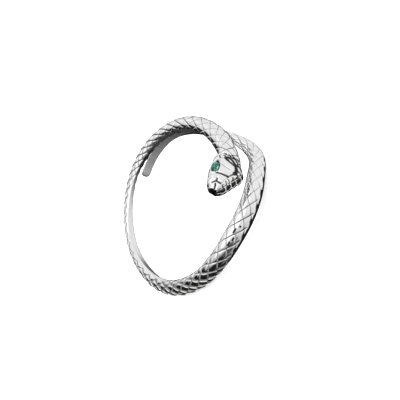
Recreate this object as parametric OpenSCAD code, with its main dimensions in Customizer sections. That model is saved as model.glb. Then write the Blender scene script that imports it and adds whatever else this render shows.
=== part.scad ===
// Snake finger ring: one casting that winds about one and a third turns, with a
// raised scale lattice, a plated head and one small faceted eye stone.
// Units are millimetres. The finger runs along +Z, the ring rests on Z = 0 and
// the origin lies on the finger's axis. Angles are counted round the finger:
// 0 is the side that faces +X, 90 the side that faces +Y.

/* [Ring] */
// Radius of the finger hole at its widest, from the axis to the inner face
inner_radius = 8.5; // [7:0.1:11]
// Width and thickness of the band against the modelled size
band_scale = 1; // [0.8:0.05:1.3]
// Angle where the tail ends
tail_end = 536; // [480:1:545]

/* [Scales] */
// Rows of scales across the outer face
scales_across = 5; // [3:1:6]
// Length of a scale against the modelled length
scale_length = 1; // [0.8:0.05:1.5]
// Depth of the grooves between the scales
scale_depth = 0.11; // [0.04:0.01:0.2]

/* [Head] */
// Angle of the middle of the head
head_angle = 31.3; // [20:0.1:45]
// Radius of the head's underside at its middle
head_radius = 8.21; // [7.5:0.01:9.5]
// Height of the head's underside at its middle
head_height = 5.63; // [5:0.01:7]
// Angle that the head is squared to
head_heading = 35; // [20:1:50]
// Climb of the head from nape to snout
head_climb = 29; // [0:1:45]
// Lean of the head's crown towards the top of the ring
head_lean = 32; // [0:1:50]
// Depth of the grooves between the head plates
plate_depth = 0.11; // [0.04:0.01:0.2]
// Depth of the mouth line
mouth_depth = 0.13; // [0:0.01:0.2]

/* [Eye stone] */
// Half the width of the stone at its girdle
stone_radius = 0.46; // [0.3:0.01:0.6]
// Length of the stone against its width
stone_stretch = 1.28; // [1:0.02:1.5]
// Height of the stone above its girdle
stone_crown = 0.22; // [0.1:0.01:0.4]
// Height of the stone under its girdle
stone_base = 0.1; // [0.05:0.01:0.2]
// Facets round the stone
stone_facets = 8; // [8:1:12]
// Gap left between the stone and its seat
stone_gap = 0.03; // [0.02:0.01:0.06]
// Distance of the stone from the nape
stone_along = 2.66; // [2:0.02:3.4]
// How far round from the crown the stone sits, as a share of the outer face
stone_round = 0.175; // [0.15:0.005:0.26]
// Tilt of the stone towards the snout
stone_tilt = 16; // [0:1:30]

/* [Hidden] */
silver = [0.82, 0.82, 0.84];
green = [0.05, 0.5, 0.3];

// Band stations. Columns: angle, radius less the ring's inner radius, height of the
// middle of the inner face, width, thickness, waist as a share of the thickness,
// lean of the outer face, scale length
band = [
    [ 54, -0.30, 5.00, 2.32, 1.92, 0.42,  20, 1.25],
    [ 64, -0.42, 5.13, 2.25, 1.92, 0.42,  12, 1.25],
    [ 75, -0.50, 5.30, 2.20, 1.90, 0.42,   7, 1.25],
    [105, -0.52, 5.86, 1.95, 1.62, 0.44,  12, 1.20],
    [135, -0.50, 5.84, 1.50, 1.27, 0.46,  14, 1.10],
    [160, -0.39, 5.30, 1.22, 1.18, 0.46,  14, 1.00],
    [180, -0.28, 4.71, 0.82, 1.10, 0.44,   8, 0.95],
    [225,  0.00, 2.65, 1.22, 0.86, 0.42,   0, 1.05],
    [270, -0.05, 1.05, 1.76, 1.43, 0.42,   0, 1.30],
    [315,  0.00, 1.28, 2.10, 1.68, 0.42,   0, 1.35],
    [338,  0.05, 1.84, 2.30, 1.78, 0.42,   0, 1.35],
    [360,  0.10, 2.15, 2.46, 1.84, 0.42,   0, 1.35],
    [400,  0.25, 1.65, 2.12, 1.85, 0.42,   0, 1.25],
    [430,  0.30, 0.80, 1.45, 1.58, 0.42,   0, 1.15],
    [460,  0.03, 3.06, 1.14, 0.89, 0.36,  -4, 1.10],
    [490,  0.12, 4.50, 0.93, 0.62, 0.34, -10, 1.00],
    [515, -0.02, 4.28, 0.95, 0.60, 0.32, -12, 0.90],
    [545, -0.10, 3.06, 1.08, 0.52, 0.28, -12, 0.85]];

// Head stations. Columns: distance from the nape, width, thickness, waist,
// squareness, lift of the underside, shift towards the snake's right
head = [
    [0.00, 2.95, 2.06, 0.42, 2.0, 0.00,  0.46],
    [0.80, 3.60, 2.09, 0.41, 2.1, 0.00,  0.22],
    [1.60, 3.91, 2.17, 0.40, 2.2, 0.00, -0.06],
    [2.70, 3.45, 2.10, 0.40, 2.3, 0.00,  0.00],
    [3.80, 2.74, 1.90, 0.40, 2.3, 0.00,  0.00],
    [4.55, 2.11, 1.59, 0.40, 2.2, 0.00,  0.00],
    [5.00, 1.27, 1.10, 0.42, 2.1, 0.10,  0.00]];

// Crown plates. Columns: distance from the nape, distance from the midline
// towards the snake's right
crown = [
    [0.30,  0.40], [0.35, -0.35], [0.95,  0.05], [0.80,  0.75], [0.90, -0.65],
    [1.65,  0.30], [2.70,  0.20], [2.35, -0.50], [1.50, -1.00], [1.55,  1.00],
    [3.85, -0.05], [4.05,  0.78], [4.85,  0.50], [4.75, -0.22],
    [4.12, -0.80], [3.20, -0.95]];

// Side plates, alike on both sides. Columns: distance from the nape, distance
// from the midline
sides = [
    [0.30, 1.10], [0.90, 1.60], [1.75, 1.45], [0.30, 2.10], [1.20, 2.30],
    [2.45, 1.75], [3.20, 1.55], [3.95, 1.35], [4.65, 1.15],
    [2.10, 2.40], [3.10, 2.30], [4.10, 2.15]];

join_angle = 66;
nape_angle = 52;
nape_pull = 1.96;
neck_pull = 1.87;
across = 2 * scales_across;
head_columns = 4 * across;
head_rows = 32;
tip_rows = 4;
under_columns = 4;
snout_tip = 0.24;
plate_reach = 5.2;
mouth_reach = 0.16;
plate_gap = 0.42;
seat_radius = stone_radius + 0.08;
seat_catch = 0.09;
rim_radius = seat_radius + seat_catch + 0.06;
eye_out = -0.03;

// Value of a table's column at x, on a smooth curve through the rows
function slope(t, k, c) = let(n = len(t), a = max(k - 1, 0), b = min(k + 1, n - 1))
    (t[b][c] - t[a][c]) / (t[b][0] - t[a][0]);
function row_of(t, x, k = 0) = k >= len(t) - 2 || x < t[k + 1][0] ? k : row_of(t, x, k + 1);
function column(t, c, x) = let(k = row_of(t, x), h = t[k + 1][0] - t[k][0], s = (x - t[k][0]) / h)
    (2 * s * s * s - 3 * s * s + 1) * t[k][c] + (s * s * s - 2 * s * s + s) * h * slope(t, k, c)
    + (3 * s * s - 2 * s * s * s) * t[k + 1][c] + (s * s * s - s * s) * h * slope(t, k + 1, c);
function unit(v) = v / norm(v);
function smooth(x) = let(t = max(0, min(1, x))) t * t * (3 - 2 * t);

// A point of the cross-section: [sideways, outwards]. The position runs from 0 at
// one edge of the inner face over the outer face to 1 at the other edge.
function outline(w, t, waist, square, v) =
    let(low = asin(waist / (1 - waist)), s = -low + v * (180 + 2 * low), e = 2 / square,
        across_s = sign(cos(s)) * pow(abs(cos(s)), e), up_s = sin(s) > 0 ? pow(sin(s), e) : sin(s))
    [w / 2 * across_s, t * (waist + (1 - waist) * up_s)];
function sunk(w, t, waist, square, v, sink) =
    let(p = outline(w, t, waist, square, v), c = [0, waist * t]) p - sink * unit(p - c);

// Band: path, frame and surface
function path(a) = let(r = inner_radius + column(band, 1, a)) [r * cos(a), r * sin(a), column(band, 2, a)];
function heading(a) = unit(path(a + 0.5) - path(a - 0.5));
function band_point(a, v, sink) =
    let(t = heading(a), r = [cos(a), sin(a), 0], u = unit(r - t * (r * t)), b = cross(u, t),
        lean = column(band, 6, a), out = u * cos(lean) + b * sin(lean), side = b * cos(lean) - u * sin(lean),
        p = sunk(band_scale * column(band, 3, a), band_scale * column(band, 4, a), column(band, 5, a), 2, v, sink))
    path(a) + side * p[0] + out * p[1];

// Head: a straight frame of its own, squared to the band and climbing
head_level = [sin(head_heading), -cos(head_heading), 0];
head_radial = [cos(head_heading), sin(head_heading), 0];
head_forward = head_level * cos(head_climb) + [0, 0, sin(head_climb)];
head_upright = [0, 0, cos(head_climb)] - head_level * sin(head_climb);
head_out = head_radial * cos(head_lean) + head_upright * sin(head_lean);
head_side = head_upright * cos(head_lean) - head_radial * sin(head_lean);
nape = [head_radius * cos(head_angle), head_radius * sin(head_angle), head_height] - 2.5 * head_forward;
function head_place(a, p) = nape + head_forward * a + head_side * (p[0] + column(head, 6, a)) + head_out * p[1];
function head_point(a, v, sink) = head_place(a,
    sunk(column(head, 1, a), column(head, 2, a), column(head, 3, a), column(head, 4, a), v, sink)
    + [0, column(head, 5, a)]);

// Neck: from the nape into the band along both headings
nape_heading = unit(head_forward + head_side * (head[1][6] - head[0][6]) / head[1][0]);
function neck_point(a, v, sink) =
    let(s = (a - nape_angle) / (join_angle - nape_angle))
    (2 * s * s * s - 3 * s * s + 1) * head_point(0, v, sink) - (s * s * s - 2 * s * s + s) * nape_pull * nape_heading
    + (3 * s * s - 2 * s * s * s) * band_point(join_angle, v, sink)
    + (s * s * s - s * s) * neck_pull * heading(join_angle);
function ring_point(a, v, sink) = a < join_angle ? neck_point(a, v, sink) : band_point(a, v, sink);

// Scale lattice. Rows are half a scale's half length apart, columns likewise.
function row_step(a) = let(b = max(a, band[0][0]))
    scale_length * column(band, 7, b) / 4 / (inner_radius + column(band, 4, b) / 2) * 180 / PI;
raw_rows = [for (a = nape_angle; a < tail_end - 3; a = a + row_step(a)) a];
rows = 4 * floor((len(raw_rows) - 1) / 4);
columns = 2 * across;
function sink_at(i, j, a) =
    let(deep = scale_depth * min(1, column(band, 4, max(a, band[0][0])) / 1.5),
        half_i = i / 2, half_j = j / 2, whole = i % 2 == 0 && j % 2 == 0)
    whole ? ((half_i + half_j) % 2 == 0 ? deep : 0) : deep * 0.3;
lattice = [for (i = [0 : rows]) let(a = raw_rows[i])
    for (j = [0 : (i % 2 == 0 ? 1 : 2) : columns]) ring_point(a, j / columns, sink_at(i, j, a))];
function at(i, j) = floor(i / 2) * (columns + 1 + across + 1) + (i % 2 == 0 ? j : columns + 1 + j / 2);

// One scale, centred on an even row and column, cut off at the borders
function quad(a, b, c, d) = [[a, b, c], [a, c, d]];
function scale_faces(i, j) =
    let(c = at(i, j), up = i > 0, down = i < rows, left = j > 0, right = j < columns)
    concat(
        up && left ? concat([[c, at(i - 1, j), at(i, j - 1)]],
            quad(at(i - 1, j), at(i - 2, j), at(i, j - 2), at(i, j - 1))) : [],
        left && down ? concat([[c, at(i, j - 1), at(i + 1, j)]],
            quad(at(i, j - 1), at(i, j - 2), at(i + 2, j), at(i + 1, j))) : [],
        down && right ? concat([[c, at(i + 1, j), at(i, j + 1)]],
            quad(at(i + 1, j), at(i + 2, j), at(i, j + 2), at(i, j + 1))) : [],
        right && up ? concat([[c, at(i, j + 1), at(i - 1, j)]],
            quad(at(i, j + 1), at(i, j + 2), at(i - 2, j), at(i - 1, j))) : []);
scale_skin = [for (i = [0 : 2 : rows], j = [0 : 2 : columns]) if ((i / 2 + j / 2) % 2 == 1) each scale_faces(i, j)];
inner_face = [for (i = [0 : rows - 1]) each quad(at(i + 1, columns), at(i + 1, 0), at(i, 0), at(i, columns))];

// Tail tip: plain rings that round off to a point
tail_base = len(lattice);
tail_from = raw_rows[rows];
tail_to = tail_end;
tail_rings = [0.35, 0.62, 0.82, 0.94];
function tail_ring(s) = let(a = tail_from + s * (tail_to - tail_from), k = sqrt(1 - pow(s, 3)),
        c = path(a) + unit([cos(a), sin(a), 0]) * band_scale * column(band, 4, a) * 0.42)
    [for (j = [0 : columns]) c + k * (band_point(a, j / columns, 0.02) - c)];
tail_points = concat([for (s = tail_rings) each tail_ring(s)],
    [path(tail_to) + [cos(tail_to), sin(tail_to), 0] * band_scale * column(band, 4, tail_to) * 0.42]);
ring_size = columns + 1;
function tail_at(r, j) = r < 0 ? at(rows, j) : tail_base + r * ring_size + j;
tail_skin = concat(
    [for (r = [-1 : len(tail_rings) - 2], j = [0 : columns])
        each quad(tail_at(r + 1, j), tail_at(r + 1, (j + 1) % ring_size), tail_at(r, (j + 1) % ring_size), tail_at(r, j))],
    [for (j = [0 : columns]) [tail_base + 4 * ring_size, tail_at(3, (j + 1) % ring_size), tail_at(3, j)]]);

// Head relief: grooves between the plates, the mouth line, the eye seat
plates = concat(crown, [for (p = sides) p], [for (p = sides) [p[0], -p[1]]]);
function plate_groove(a, v) =
    let(q = [a, (0.5 - v) * plate_reach], d = [for (p = plates) norm(p - q)], first = min(d),
        second = min([for (x = d) x > first ? x : 99]))
    plate_depth * (1 - smooth((second - first) / plate_gap));
function mouth_groove(a, v) =
    let(line = 1.42 + 0.2 * (5 - a), off = abs(abs(0.5 - v) * plate_reach - line))
    mouth_depth * (1 - smooth(off / mouth_reach)) * smooth((a - 1.5) / 0.4);
function relief(a, v) = v < 0 || v > 1 ? 0
    : max(plate_groove(a, v) * smooth((0.47 - abs(v - 0.5)) / 0.06), mouth_groove(a, v));

// Eye frame: origin on the head's surface, z axis outwards and tilted to the snout
function eye_frame(v) =
    let(o = head_point(stone_along, v, 0),
        f = unit(head_point(stone_along + 0.1, v, 0) - head_point(stone_along - 0.1, v, 0)),
        s = unit(head_point(stone_along, v + 0.02, 0) - head_point(stone_along, v - 0.02, 0)),
        skin = unit(cross(f, s)), n = skin * cos(stone_tilt) + f * sin(stone_tilt), x = unit(f - n * (f * n)))
    [x, cross(n, x), n, o + skin * eye_out];
eye = eye_frame(0.5 - stone_round);
floor_level = -stone_base - stone_gap;
rim_level = -0.01;
// The metal is drawn flat under the stone and stands up round it as a rim
function seated(p, e) =
    let(d = p - e[3], z = d * e[2], flat = d - z * e[2], r = norm([flat * e[0] / stone_stretch, flat * e[1]]),
        rim = rim_level - 1.6 * max(0, r - rim_radius))
    z < -1 ? p
    : r < seat_radius - seat_catch ? e[3] + flat + e[2] * floor_level
    : r < seat_radius + seat_catch ? e[3] + flat * seat_radius / r + e[2] * floor_level
    : r < rim_radius + 0.3 ? p + e[2] * max(0, rim - z) : p;
function crown_point(a, v) = seated(head_point(a, v, relief(a, v)), eye);

head_base = tail_base + len(tail_points);
head_ring_size = head_columns + under_columns;
head_end = head[len(head) - 1][0];
function head_ring(a, k) =
    let(edge_a = crown_point(a, 0), edge_b = crown_point(a, 1), c = head_place(a, [0, 0.42 * column(head, 2, a)
        + column(head, 5, a)]))
    [for (j = [0 : head_ring_size - 1])
        let(p = j <= head_columns ? crown_point(a, j / head_columns)
            : edge_b + (edge_a - edge_b) * (j - head_columns) / under_columns)
        c + (p - c) * k];
head_points = concat(
    [for (i = [0 : head_rows - 1]) each head_ring(0.14 + (head_end - 0.14) * i / (head_rows - 1), 1)],
    [for (i = [1 : tip_rows - 1]) let(q = 90 * i / tip_rows)
        each [for (p = head_ring(head_end, cos(q))) p + head_forward * snout_tip * sin(q)]],
    [head_place(head_end, [0, 0.42 * column(head, 2, head_end) + column(head, 5, head_end)])
        + head_forward * snout_tip]);
head_rings = head_rows + tip_rows - 1;
function head_at(i, j) = head_base + i * head_ring_size + (j % head_ring_size);
head_skin = concat(
    [for (i = [0 : head_rings - 2], j = [0 : head_ring_size - 1])
        each quad(head_at(i, j), head_at(i, j + 1), head_at(i + 1, j + 1), head_at(i + 1, j))],
    [for (j = [0 : head_ring_size - 1])
        [head_base + head_rings * head_ring_size, head_at(head_rings - 1, j), head_at(head_rings - 1, j + 1)]]);
// Nape strip: two head columns meet each lattice column
nape_skin = concat(
    [for (j = [0 : columns - 1]) each [
        [at(0, j), head_at(0, 2 * j + 1), head_at(0, 2 * j)],
        [at(0, j), at(0, j + 1), head_at(0, 2 * j + 1)],
        [at(0, j + 1), head_at(0, 2 * j + 2), head_at(0, 2 * j + 1)]]],
    [[at(0, columns), head_at(0, head_columns + 1), head_at(0, head_columns)],
     [at(0, columns), head_at(0, head_columns + 2), head_at(0, head_columns + 1)],
     [at(0, columns), at(0, 0), head_at(0, head_columns + 2)],
     [at(0, 0), head_at(0, head_columns + 3), head_at(0, head_columns + 2)],
     [at(0, 0), head_at(0, 0), head_at(0, head_columns + 3)]]);

// The whole casting, snout to tail tip
module ring_body() {
    color(silver)
        polyhedron(points = concat(lattice, tail_points, head_points),
            faces = concat(scale_skin, inner_face, tail_skin, head_skin, nape_skin), convexity = 8);
}

// The cut stone: table, main facets, girdle and a narrower flat base
module eye_stone() {
    x = eye[0]; y = eye[1]; z = eye[2]; o = eye[3];
    n = stone_facets;
    function ring(r, h, turn) = [for (i = [0 : n - 1]) let(q = 360 * (i + turn) / n)
        [stone_stretch * r * cos(q), r * sin(q), h]];
    function level(k, i) = k * n + i % n;
    points = concat(ring(stone_radius * 0.8, -stone_base, 0), ring(stone_radius, -0.02, 0),
        ring(stone_radius, 0.02, 0), ring(stone_radius * 0.82, stone_crown * 0.6, 0.5),
        ring(stone_radius * 0.52, stone_crown, 0));
    faces = concat(
        [[for (i = [0 : n - 1]) level(0, i)]],
        [for (k = [0 : 1], i = [0 : n - 1]) each quad(level(k, i), level(k + 1, i), level(k + 1, i + 1), level(k, i + 1))],
        [for (i = [0 : n - 1]) [level(2, i), level(3, i), level(2, i + 1)]],
        [for (i = [0 : n - 1]) [level(2, i + 1), level(3, i), level(3, i + 1)]],
        [for (i = [0 : n - 1]) [level(3, i), level(4, i), level(4, i + 1)]],
        [for (i = [0 : n - 1]) [level(3, i), level(4, i + 1), level(3, i + 1)]],
        [[for (i = [n - 1 : -1 : 0]) level(4, i)]]);
    color(green)
        multmatrix([[x[0], y[0], z[0], o[0]], [x[1], y[1], z[1], o[1]], [x[2], y[2], z[2], o[2]], [0, 0, 0, 1]])
            polyhedron(points = points, faces = faces, convexity = 2);
}

ring_body();
eye_stone();
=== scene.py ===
"""Snake finger ring: the dressed casting, its eye stone and a plain pale studio."""
import logging
import math
from dataclasses import dataclass, field
from enum import Enum
from typing import Any, Sequence

import bpy
import numpy as np
from mathutils import Matrix, Vector

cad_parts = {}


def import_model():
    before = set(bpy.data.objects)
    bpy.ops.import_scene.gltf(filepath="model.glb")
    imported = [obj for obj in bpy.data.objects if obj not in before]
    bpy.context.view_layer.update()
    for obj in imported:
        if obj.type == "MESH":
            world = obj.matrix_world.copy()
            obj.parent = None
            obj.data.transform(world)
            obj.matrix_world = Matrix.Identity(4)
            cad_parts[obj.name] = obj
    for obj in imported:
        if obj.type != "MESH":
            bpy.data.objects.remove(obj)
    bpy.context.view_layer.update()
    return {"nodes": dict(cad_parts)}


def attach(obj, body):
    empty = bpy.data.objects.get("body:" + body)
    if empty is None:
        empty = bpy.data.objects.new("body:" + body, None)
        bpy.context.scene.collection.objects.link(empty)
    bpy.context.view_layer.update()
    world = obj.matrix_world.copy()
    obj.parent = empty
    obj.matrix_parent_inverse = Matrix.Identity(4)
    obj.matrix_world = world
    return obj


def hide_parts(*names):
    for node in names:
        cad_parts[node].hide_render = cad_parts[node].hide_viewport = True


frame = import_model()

MM = 0.001
FAR = 999.0
# A section's middle, as a share of its thickness.
CORE = 0.42
LOG = logging.getLogger("snake_ring")
Array = np.ndarray
Colour = tuple[float, float, float, float]
Route = tuple[tuple[float, float], ...]


class Socket:
    """One output of a node, with Python's operators as Math nodes."""

    def __init__(self, tree: "NodeTree", link: Any) -> None:
        """Wraps a node's output.

        Args:
            tree: The tree that the output belongs to.
            link: The Blender output socket.
        """
        self.tree = tree
        self.link = link

    def _math(self, operation: str, *values: Any) -> "Socket":
        """Adds one Math node on the given values."""
        return self.tree.add("ShaderNodeMath", {"operation": operation}, dict(enumerate(values)))

    def __add__(self, other: Any) -> "Socket":
        """Sum of two values."""
        return self._math("ADD", self, other)

    __radd__ = __add__

    def __sub__(self, other: Any) -> "Socket":
        """Difference of two values."""
        return self._math("SUBTRACT", self, other)

    def __rsub__(self, other: Any) -> "Socket":
        """Difference of a number and this value."""
        return self._math("SUBTRACT", other, self)

    def __mul__(self, other: Any) -> "Socket":
        """Product of two values."""
        return self._math("MULTIPLY", self, other)

    __rmul__ = __mul__

    def __truediv__(self, other: Any) -> "Socket":
        """Quotient of two values."""
        return self._math("DIVIDE", self, other)

    def __pow__(self, other: Any) -> "Socket":
        """This value raised to a power."""
        return self._math("POWER", self, other)

    def least(self, other: Any) -> "Socket":
        """The smaller of two values."""
        return self._math("MINIMUM", self, other)

    def most(self, other: Any) -> "Socket":
        """The larger of two values."""
        return self._math("MAXIMUM", self, other)

    def fraction(self) -> "Socket":
        """The part of this value after the point."""
        return self._math("FRACT", self)

    def ramp(self, low: Any, high: Any, start: float = 0.0, end: float = 1.0) -> "Socket":
        """A smooth step from start to end while this value goes from low to high."""
        stops = {"Value": self, "From Min": low, "From Max": high, "To Min": start, "To Max": end}
        return self.tree.add("ShaderNodeMapRange", {"interpolation_type": "SMOOTHSTEP"}, stops)


class NodeTree:
    """A shader or geometry node tree that is written as expressions."""

    def __init__(self, tree: Any) -> None:
        """Empties a Blender node tree and takes it over."""
        self.tree = tree
        tree.nodes.clear()

    def add(self, kind: str, settings: dict[str, Any] | None = None, values: dict[Any, Any] | None = None,
            out: Any = 0) -> Socket:
        """Adds a node.

        Args:
            kind: The node's Blender type.
            settings: Properties that are set first, such as an operation.
            values: Numbers, tuples or Socket links by input name or index.
            out: Name or index of the output that is returned.

        Returns:
            The chosen output of the new node.
        """
        node = self.tree.nodes.new(kind)
        for name, setting in (settings or {}).items():
            setattr(node, name, setting)
        for name, value in (values or {}).items():
            if isinstance(value, Socket):
                self.tree.links.new(value.link, node.inputs[name])
            else:
                node.inputs[name].default_value = value
        return Socket(self, node.outputs[out] if node.outputs else node)

    def mix(self, factor: Any, first: Any, second: Any) -> Socket:
        """Mixes two colours by a factor."""
        return self.add("ShaderNodeMix", {"data_type": "RGBA"}, {0: factor, 6: first, 7: second}, out=2)

    def noise(self, scale: float, detail: float = 2.0) -> Socket:
        """Noise from 0 to 1 that stays with the piece."""
        place = self.add("ShaderNodeTexCoord", out="Object")
        return self.add("ShaderNodeTexNoise", {}, {"Vector": place, "Scale": scale, "Detail": detail})

    def surface(self, values: dict[str, Any]) -> None:
        """Ends a material in a Principled shader with the given values."""
        shader = self.add("ShaderNodeBsdfPrincipled", {}, values)
        self.add("ShaderNodeOutputMaterial", {}, {"Surface": shader})


def new_material(name: str) -> tuple[bpy.types.Material, NodeTree]:
    """Makes a material with an empty node tree.

    Args:
        name: The material's name.

    Returns:
        The material and its tree.
    """
    made = bpy.data.materials.new(name)
    made.use_nodes = True
    return made, NodeTree(made.node_tree)


def show(name: str, data: Any) -> bpy.types.Object:
    """Puts a mesh, lamp or camera into the scene.

    Args:
        name: The object's name.
        data: What the object shows.

    Returns:
        The new object, at the origin.
    """
    shown = bpy.data.objects.new(name, data)
    bpy.context.scene.collection.objects.link(shown)
    return shown


def lattice(row: Socket, column: Socket) -> tuple[Socket, Socket]:
    """Places between the scales' two families of slanting lines, each from 0 to 1."""
    return ((row + column) / 2).fraction(), ((row - column) / 2).fraction()


@dataclass(frozen=True)
class SilverFinish:
    """Polished cast silver, frosted in the cut lines and black in the grooves. Black also stands for painted
    shade on the head's flanks below the lip line, at the snout's tip and round the stone, and for painted
    shadow at the scales' front edges; the lines between the head's side scales are painted light grey
    as highlights.

    A nick is a short painted shadow between two scales, given by its row, its column and half its length.
    """

    polished: Colour = (0.94, 0.94, 0.94, 1.0)
    frosted: Colour = (0.36, 0.36, 0.36, 1.0)
    # Black of the groove lines, and of the painted shade and painted shadow.
    black_lines_and_painted_shade: Colour = (0.035, 0.035, 0.035, 1.0)
    # Light grey of the painted highlight lines between the head's side scales.
    bare: Colour = (0.80, 0.80, 0.80, 1.0)
    gloss: float = 0.09
    gloss_spread: float = 0.05
    dull: float = 0.70
    wear: float = 0.10
    metal_loss: float = 0.7
    cloud_scale: float = 900.0
    grain_scale: float = 9000.0
    grain: float = 0.05
    line_depth: float = 0.00005
    line_width: float = 0.052
    line_spread: float = 0.5
    line_edge: tuple[float, float] = (0.35, 1.0)
    line_onset: tuple[float, float] = (0.05, 0.6)
    black_onset: tuple[float, float] = (0.3, 0.8)
    shadow_edge: tuple[float, float] = (0.5, 1.25)
    nick_width: float = 0.20
    nick_edge: tuple[float, float] = (0.8, 0.6)
    nicks: tuple[tuple[float, float, float], ...] = (
        (75.25, 2.62, 0.38), (76.00, 3.12, 0.14), (74.30, 3.12, 0.25), (73.60, 2.88, 0.33))

    def nick(self, along: Socket, aside: Socket, length: float) -> Socket:
        """One nick, from its distances along and aside.

        Args:
            along: Distance from the nick's middle in rows.
            aside: Distance from the nick's middle in columns.
            length: Half the nick's length.

        Returns:
            One inside the nick and zero outside.
        """
        long_edge, short_edge = self.nick_edge
        inside = (along ** 2).ramp((long_edge * length) ** 2, length ** 2, 1.0, 0.0)
        width = self.nick_width
        return inside * (aside ** 2).ramp((short_edge * width) ** 2, width ** 2, 1.0, 0.0)

    def material(self) -> bpy.types.Material:
        """Makes the metal.

        Returns:
            The material, which reads the lattice and groove attributes of the casting's mesh.
        """
        made, tree = new_material("polished_silver")

        def stored(name: str) -> Socket:
            """Reads an attribute of the mesh."""
            return tree.add("ShaderNodeAttribute", {"attribute_name": name}, out="Fac")

        cloud = tree.noise(self.cloud_scale, detail=3.0)
        width = self.line_width * (1 - self.line_spread / 2 + self.line_spread * cloud)

        def line(off: Socket, edge: tuple[float, float]) -> Socket:
            """A line with a soft edge, from the distance off it."""
            return off.ramp(edge[0] * width, edge[1] * width, 1.0, 0.0)

        row, column = stored("scale_row"), stored("scale_column")
        first, second = lattice(row, column)
        front = second.least(1 - second)
        cut = line(first.least(1 - first).least(front), self.line_edge)
        cut = cut * stored("scale_line").ramp(*self.line_onset)
        # Painted shadow in black at the scales' front edges and in the nicks between scales.
        shadow = line(front, self.shadow_edge) * stored("painted_front_shadow")
        for place_row, place_column, length in self.nicks:
            shadow = shadow.most(self.nick(row - place_row, column - place_column, length))
        painted_light_line, black = stored("painted_light_line"), stored("groove").ramp(*self.black_onset)
        depth = cut.most(painted_light_line)
        # Black in the grooves, and painted shade on the head's flanks, snout tip and stone seat.
        shade = tree.mix(black, self.polished, self.black_lines_and_painted_shade)
        shade = tree.mix(cut, shade, self.frosted)
        shade = tree.mix(shadow, shade, self.black_lines_and_painted_shade)
        # Painted highlight: light grey lines between the head's side scales.
        shade = tree.mix(painted_light_line, shade, self.bare)
        rough = self.gloss + (cloud - 0.5) * self.gloss_spread + stored("worn") * self.wear
        height = self.grain * tree.noise(self.grain_scale) - cut
        bump = tree.add("ShaderNodeBump", {},
                        {"Strength": 1.0, "Distance": self.line_depth, "Height": height})
        tree.surface({"Base Color": shade, "Metallic": 1 - self.metal_loss * depth,
                      "Roughness": rough.most(depth * self.dull), "Normal": bump})
        return made


@dataclass(frozen=True)
class StoneFinish:
    """Deep green cut stone, with pale green patches the size of its facets painted on by noise as highlights.
    """

    deep: Colour = (0.002, 0.06, 0.04, 1.0)
    painted_facet_highlight: Colour = (0.12, 0.55, 0.42, 1.0)
    cloud_scale: float = 2600.0
    highlight_patch_edge: tuple[float, float] = (0.46, 0.70)
    gloss: float = 0.06
    bend: float = 1.6
    coat: float = 0.6
    coat_gloss: float = 0.03

    def material(self) -> bpy.types.Material:
        """Makes the stone.

        Returns:
            The material.
        """
        made, tree = new_material("green_stone")
        # Painted highlights: pale patches laid at random by noise.
        shade = tree.mix(tree.noise(self.cloud_scale).ramp(*self.highlight_patch_edge), self.deep, self.painted_facet_highlight)
        tree.surface({"Base Color": shade, "Roughness": self.gloss, "IOR": self.bend,
                      "Coat Weight": self.coat, "Coat Roughness": self.coat_gloss})
        return made


@dataclass(frozen=True)
class PaperFinish:
    """Matt pale paper, lit enough to stay near white."""

    tone: Colour = (0.93, 0.93, 0.93, 1.0)
    rough: float = 0.9
    shine: float = 0.1
    glow: float = 0.6

    def material(self) -> bpy.types.Material:
        """Makes the floor's paper.

        Returns:
            The material.
        """
        made, tree = new_material("pale_paper")
        tree.surface({"Base Color": self.tone, "Roughness": self.rough, "Specular IOR Level": self.shine,
                      "Emission Strength": self.glow, "Emission Color": (1.0, 1.0, 1.0, 1.0)})
        return made


def unit(vectors: Array) -> Array:
    """Vectors scaled to length one."""
    return vectors / np.linalg.norm(vectors, axis=-1, keepdims=True)


def smooth(values: Array) -> Array:
    """Smooth step from 0 to 1 while the values go from 0 to 1."""
    t = np.clip(values, 0.0, 1.0)
    return t * t * (3 - 2 * t)


def after(values: Array, start: Any, rise: float) -> Array:
    """Smooth step from 0 to 1 that starts at a place."""
    return smooth((values - start) / rise)


def before(values: Array, end: Any, fall: float) -> Array:
    """Smooth step from 1 to 0 that ends at a place."""
    return smooth((end - values) / fall)


class Span(Enum):
    """A run of places: where it starts, over how much, where it ends and over how much."""

    def weigh(self, places: Array) -> Array:
        """One inside the span and zero outside, with a smooth step at each end."""
        start, rise, end, fall = self.value
        return after(places, start, rise) * before(places, end, fall)


class Stretch(Span):
    """Spans along the coil in degrees, from the nape to the tail."""

    NAPE = (-FAR, 1, 64, 8)
    NECK = (-FAR, 1, 112, 25)
    TOP = (-FAR, 1, 165, 25)
    CALM = (75, 20, 205, 25)
    PLAIN = (165, 30, 305, 30)
    BOLD = (240, 25, 335, 15)
    STEPPED = (285, 12, 338, 8)
    EASED = (318, 14, 378, 15)
    # Where the scales' front edges carry painted shadow.
    DARK = (325, 15, 388, 15)
    CUT_OFF = (332, 16, FAR, 1)
    MUTED = (375, 20, 480, 20)
    TAIL = (455, 25, FAR, 1)
    BARE = (470, 20, FAR, 1)


class Strip(Span):
    """Spans across the outer face, from 0 at one edge of the inner face to 1 at the other."""

    CHIN = (0.12, 0.25, FAR, 1)
    STEPPED = (0.42, 0.08, FAR, 1)
    CUT_OFF = (0.50, 0.07, FAR, 1)
    EASED = (-FAR, 1, 0.52, 0.08)
    BARE = (-FAR, 1, 0.62, 0.3)


class HeadSpan(Span):
    """Spans on the head: from the nape in millimetres, and from the crest as a share of the way round."""

    RISEN = (0.0, 0.5, FAR, 1)
    MOUTH = (1.5, 0.4, FAR, 1)
    SIDES = (-FAR, 1, 0.48, 0.05)
    SKIN = (-FAR, 1, 0.5, 0.08)


def radial(angle: Array) -> Array:
    """Level directions away from the finger at the given angles."""
    turn = np.radians(angle)
    return np.stack([np.cos(turn), np.sin(turn), 0 * turn], -1)


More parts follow.
